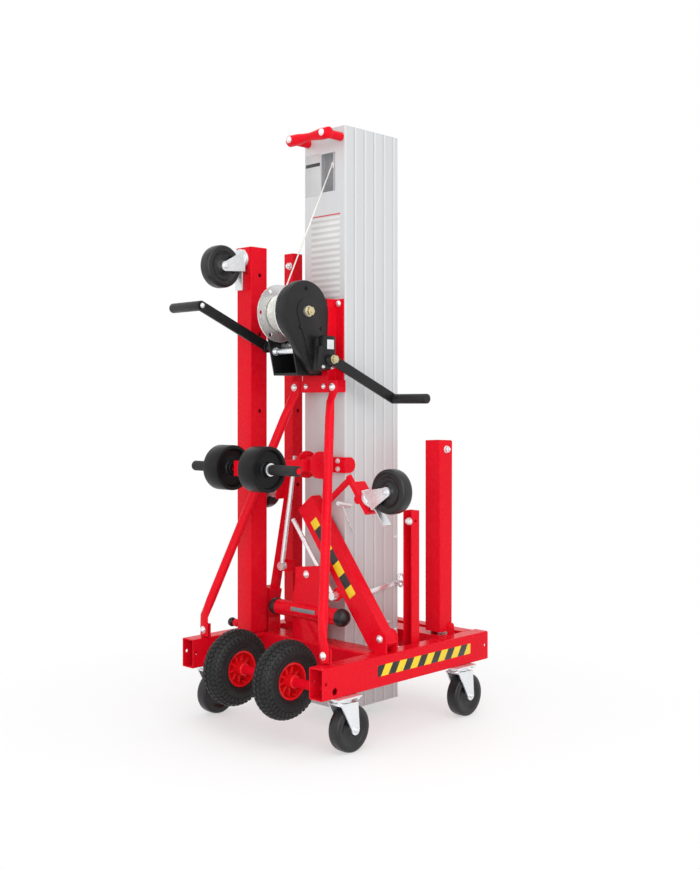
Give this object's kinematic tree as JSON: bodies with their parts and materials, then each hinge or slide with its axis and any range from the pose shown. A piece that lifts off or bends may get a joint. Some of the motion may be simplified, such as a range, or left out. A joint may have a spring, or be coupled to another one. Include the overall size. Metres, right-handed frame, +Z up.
{
  "type": "material hoist",
  "caption": "Hand-cranked material hoist with a telescopic mast, folding outriggers, forks, skid rollers and transport wheels, folded for moving.",
  "frame": {"origin": "on the floor under the middle of the hoist's box", "axes": "+Z up along the mast; +Y towards the load side; -Y towards the winch; +X to the right of a person at the winch"},
  "size_m": [0.8617, 0.928, 2.07],
  "materials": {
    "red_enamel": "semi-gloss enamel",
    "mast_alloy": "satin anodised",
    "zinc_plate": "bright zinc plating",
    "caster_tread": "matt",
    "tyre_rubber": "matt",
    "black_plastic": "matt",
    "black_enamel": "semi-gloss enamel",
    "winch_steel": "bright zinc plating",
    "rope_steel": "stranded wire"
  },
  "bodies": {
    "base": {"left_rail": "red_enamel", "right_rail": "red_enamel", "cross_members": "red_enamel", "frame_brackets": "red_enamel", "buffer_caps": "black_plastic", "frame_hardware": "zinc_plate", "transport_axle": "red_enamel", "mast_section_1": "mast_alloy", "winch_bracket": "red_enamel", "braces": "red_enamel", "top_handle": "red_enamel", "cradle_channel": "red_enamel", "winch_frame": "black_enamel", "gear_cover": "black_enamel", "wire_rope": "rope_steel", "roller_clamp": "red_enamel"},
    "drum": {"drum": "winch_steel", "drum_rope": "rope_steel"},
    "countershaft": {"countershaft": "winch_steel"},
    "input": {"input_shaft": "winch_steel", "right_crank": "black_enamel"},
    "right_grip": {"right_grip": "black_plastic"},
    "left_crank": {"left_crank": "black_enamel"},
    "left_grip": {"left_grip": "black_plastic"},
    "top_sheave": {"top_sheave": "zinc_plate"},
    "mast_section_2": {"mast_section_2": "mast_alloy"},
    "mast_section_3": {"mast_section_3": "mast_alloy"},
    "mast_section_4": {"mast_section_4": "mast_alloy"},
    "mast_section_5": {"mast_section_5": "mast_alloy"},
    "carriage": {"carriage": "red_enamel"},
    "left_fork": {"left_fork": "red_enamel"},
    "right_fork": {"right_fork": "red_enamel"},
    "roller_arm": {"roller_arm": "red_enamel", "roller_grips": "black_plastic"},
    "left_roller": {"left_roller": "black_plastic"},
    "right_roller": {"right_roller": "black_plastic"},
    "right_outrigger": {"right_outrigger": "red_enamel"},
    "right_stay": {"right_stay": "zinc_plate"},
    "left_outrigger": {"left_outrigger": "red_enamel"},
    "left_stay": {"left_stay": "zinc_plate"},
    "stowed_leg": {"stowed_leg": "red_enamel"},
    "stowed_bar": {"stowed_bar": "red_enamel"},
    "left_wheel": {"left_tyre": "tyre_rubber", "left_rim": "red_enamel"},
    "right_wheel": {"right_tyre": "tyre_rubber", "right_rim": "red_enamel"},
    "front_left_fork": {"front_left_caster_fork": "zinc_plate"},
    "front_left_wheel": {"front_left_caster_wheel": "caster_tread"},
    "front_right_fork": {"front_right_caster_fork": "zinc_plate"},
    "front_right_wheel": {"front_right_caster_wheel": "caster_tread"},
    "rear_left_fork": {"rear_left_caster_fork": "zinc_plate"},
    "rear_left_wheel": {"rear_left_caster_wheel": "caster_tread"},
    "rear_right_fork": {"rear_right_caster_fork": "zinc_plate"},
    "rear_right_wheel": {"rear_right_caster_wheel": "caster_tread"},
    "leg_fork": {"leg_caster_fork": "zinc_plate"},
    "leg_wheel": {"leg_caster_wheel": "caster_tread"},
    "right_outrigger_fork": {"right_outrigger_caster_fork": "zinc_plate"},
    "right_outrigger_wheel": {"right_outrigger_caster_wheel": "caster_tread"},
    "left_outrigger_fork": {"left_outrigger_caster_fork": "zinc_plate"},
    "left_outrigger_wheel": {"left_outrigger_caster_wheel": "caster_tread"}
  },
  "joints": [
    {"name": "drum_turn", "type": "hinge", "parent": "base", "child": "drum", "pos_m": [0, -0.175, 1.417], "axis": [1, 0, 0], "range_deg": [0, 6875.49]},
    {"name": "countershaft_turn", "type": "hinge", "parent": "base", "child": "countershaft", "pos_m": [0, -0.13909, 1.30649], "axis": [1, 0, 0], "range_deg": [-31184.5, 0]},
    {"name": "input_turn", "type": "hinge", "parent": "base", "child": "input", "pos_m": [0, -0.12222, 1.25456], "axis": [1, 0, 0], "range_deg": [0, 62369]},
    {"name": "sheave_turn", "type": "hinge", "parent": "base", "child": "top_sheave", "pos_m": [0.031, 0.006, 1.945], "axis": [1, 0, 0], "range_deg": [0, 24573.3]},
    {"name": "section_2_slide", "type": "slide", "parent": "base", "child": "mast_section_2", "axis": [0, 0, 1], "range_m": [0, 1.5005]},
    {"name": "section_3_slide", "type": "slide", "parent": "mast_section_2", "child": "mast_section_3", "axis": [0, 0, 1], "range_m": [0, 1.5005]},
    {"name": "section_4_slide", "type": "slide", "parent": "mast_section_3", "child": "mast_section_4", "axis": [0, 0, 1], "range_m": [0, 1.5005]},
    {"name": "section_5_slide", "type": "slide", "parent": "mast_section_4", "child": "mast_section_5", "axis": [0, 0, 1], "range_m": [0, 1.5005]},
    {"name": "carriage_slide", "type": "slide", "parent": "mast_section_5", "child": "carriage", "axis": [0, 0, 1], "range_m": [0, 1.5005]},
    {"name": "right_grip_spin", "type": "hinge", "parent": "input", "child": "right_grip", "pos_m": [0.132, 0.14808, 1.12272], "axis": [1, 0, 0], "continuous": true},
    {"name": "left_crank_turn", "type": "hinge", "parent": "base", "child": "left_crank", "pos_m": [-0.158, -0.13909, 1.30649], "axis": [1, 0, 0], "range_deg": [-15, 100]},
    {"name": "left_grip_spin", "type": "hinge", "parent": "left_crank", "child": "left_grip", "pos_m": [-0.158, -0.4094, 1.43832], "axis": [1, 0, 0], "continuous": true},
    {"name": "left_fork_fold", "type": "hinge", "parent": "carriage", "child": "left_fork", "pos_m": [-0.235, 0.347, 0.305], "axis": [-1, 0, 0], "range_deg": [0, 90]},
    {"name": "right_fork_fold", "type": "hinge", "parent": "carriage", "child": "right_fork", "pos_m": [0.235, 0.347, 0.305], "axis": [-1, 0, 0], "range_deg": [0, 90]},
    {"name": "roller_arm_lift", "type": "hinge", "parent": "base", "child": "roller_arm", "pos_m": [0, -0.073, 0.893], "axis": [-1, 0, 0], "range_deg": [0, 45]},
    {"name": "left_roller_spin", "type": "hinge", "parent": "roller_arm", "child": "left_roller", "pos_m": [-0.088, -0.389, 0.893], "axis": [1, 0, 0], "continuous": true},
    {"name": "right_roller_spin", "type": "hinge", "parent": "roller_arm", "child": "right_roller", "pos_m": [0.088, -0.389, 0.893], "axis": [1, 0, 0], "continuous": true},
    {"name": "right_outrigger_fold", "type": "hinge", "parent": "base", "child": "right_outrigger", "pos_m": [0.32, -0.051, 0.332], "axis": [0, 1, 0], "range_deg": [0, 116]},
    {"name": "right_stay_swing", "type": "hinge", "parent": "right_outrigger", "child": "right_stay", "pos_m": [0.11083, -0.086, 0.4503], "axis": [0, 1, 0], "range_deg": [0, 40]},
    {"name": "left_outrigger_fold", "type": "hinge", "parent": "base", "child": "left_outrigger", "pos_m": [-0.255, -0.051, 0.35], "axis": [0, -1, 0], "range_deg": [0, 119]},
    {"name": "left_stay_swing", "type": "hinge", "parent": "left_outrigger", "child": "left_stay", "pos_m": [-0.148, -0.086, 0.527], "axis": [0, -1, 0], "range_deg": [0, 8]},
    {"name": "stowed_leg_lift", "type": "slide", "parent": "base", "child": "stowed_leg", "axis": [0, 0, 1], "range_m": [0, 0.6]},
    {"name": "stowed_bar_lift", "type": "slide", "parent": "base", "child": "stowed_bar", "axis": [0, 0, 1], "range_m": [0, 0.6]},
    {"name": "front_left_swivel", "type": "hinge", "parent": "base", "child": "front_left_fork", "pos_m": [-0.33, -0.271, 0.185], "axis": [0, 0, -1], "continuous": true},
    {"name": "front_left_wheel_spin", "type": "hinge", "parent": "front_left_fork", "child": "front_left_wheel", "pos_m": [-0.33, -0.236, 0.075], "axis": [1, 0, 0], "continuous": true},
    {"name": "front_right_swivel", "type": "hinge", "parent": "base", "child": "front_right_fork", "pos_m": [0.33, -0.271, 0.185], "axis": [0, 0, -1], "continuous": true},
    {"name": "front_right_wheel_spin", "type": "hinge", "parent": "front_right_fork", "child": "front_right_wheel", "pos_m": [0.33, -0.236, 0.075], "axis": [1, 0, 0], "continuous": true},
    {"name": "rear_left_swivel", "type": "hinge", "parent": "base", "child": "rear_left_fork", "pos_m": [-0.33, 0.317, 0.185], "axis": [0, 0, -1], "continuous": true},
    {"name": "rear_left_wheel_spin", "type": "hinge", "parent": "rear_left_fork", "child": "rear_left_wheel", "pos_m": [-0.365, 0.317, 0.075], "axis": [0, 1, 0], "continuous": true},
    {"name": "rear_right_swivel", "type": "hinge", "parent": "base", "child": "rear_right_fork", "pos_m": [0.33, 0.317, 0.185], "axis": [0, 0, -1], "continuous": true},
    {"name": "rear_right_wheel_spin", "type": "hinge", "parent": "rear_right_fork", "child": "rear_right_wheel", "pos_m": [0.33, 0.352, 0.075], "axis": [1, 0, 0], "continuous": true},
    {"name": "leg_swivel", "type": "hinge", "parent": "stowed_leg", "child": "leg_fork", "pos_m": [-0.2525, -0.173, 1.621], "axis": [0, -1, 0], "continuous": true},
    {"name": "leg_wheel_spin", "type": "hinge", "parent": "leg_fork", "child": "leg_wheel", "pos_m": [-0.2525, -0.283, 1.586], "axis": [1, 0, 0], "continuous": true},
    {"name": "right_outrigger_swivel", "type": "hinge", "parent": "right_outrigger", "child": "right_outrigger_fork", "pos_m": [0.23843, -0.051, 0.77588], "axis": [0.788, 0, 0.6157], "continuous": true},
    {"name": "right_outrigger_wheel_spin", "type": "hinge", "parent": "right_outrigger_fork", "child": "right_outrigger_wheel", "pos_m": [0.34666, -0.051, 0.81602], "axis": [0, 1, 0], "continuous": true},
    {"name": "left_outrigger_swivel", "type": "hinge", "parent": "left_outrigger", "child": "left_outrigger_fork", "pos_m": [-0.16857, -0.051, 0.80918], "axis": [-0.9763, 0, 0.2164], "range_deg": [-30, 8]},
    {"name": "left_outrigger_wheel_spin", "type": "hinge", "parent": "left_outrigger_fork", "child": "left_outrigger_wheel", "pos_m": [-0.28353, -0.051, 0.79882], "axis": [0, 1, 0], "continuous": true},
    {"name": "left_wheel_spin", "type": "hinge", "parent": "base", "child": "left_wheel", "pos_m": [-0.125, -0.319, 0.208], "axis": [1, 0, 0], "continuous": true},
    {"name": "right_wheel_spin", "type": "hinge", "parent": "base", "child": "right_wheel", "pos_m": [0.125, -0.319, 0.208], "axis": [1, 0, 0], "continuous": true}
  ],
  "couplings": [
    {"joint": "countershaft_turn", "follows": "drum_turn", "ratio": -4.5333},
    {"joint": "input_turn", "follows": "drum_turn", "ratio": 9.0667},
    {"joint": "sheave_turn", "follows": "drum_turn", "ratio": 3.5722},
    {"joint": "section_2_slide", "follows": "drum_turn", "m_per_rad": 0.0125},
    {"joint": "section_3_slide", "follows": "drum_turn", "m_per_rad": 0.0125},
    {"joint": "section_4_slide", "follows": "drum_turn", "m_per_rad": 0.0125},
    {"joint": "section_5_slide", "follows": "drum_turn", "m_per_rad": 0.0125},
    {"joint": "carriage_slide", "follows": "drum_turn", "m_per_rad": 0.0125}
  ]
}
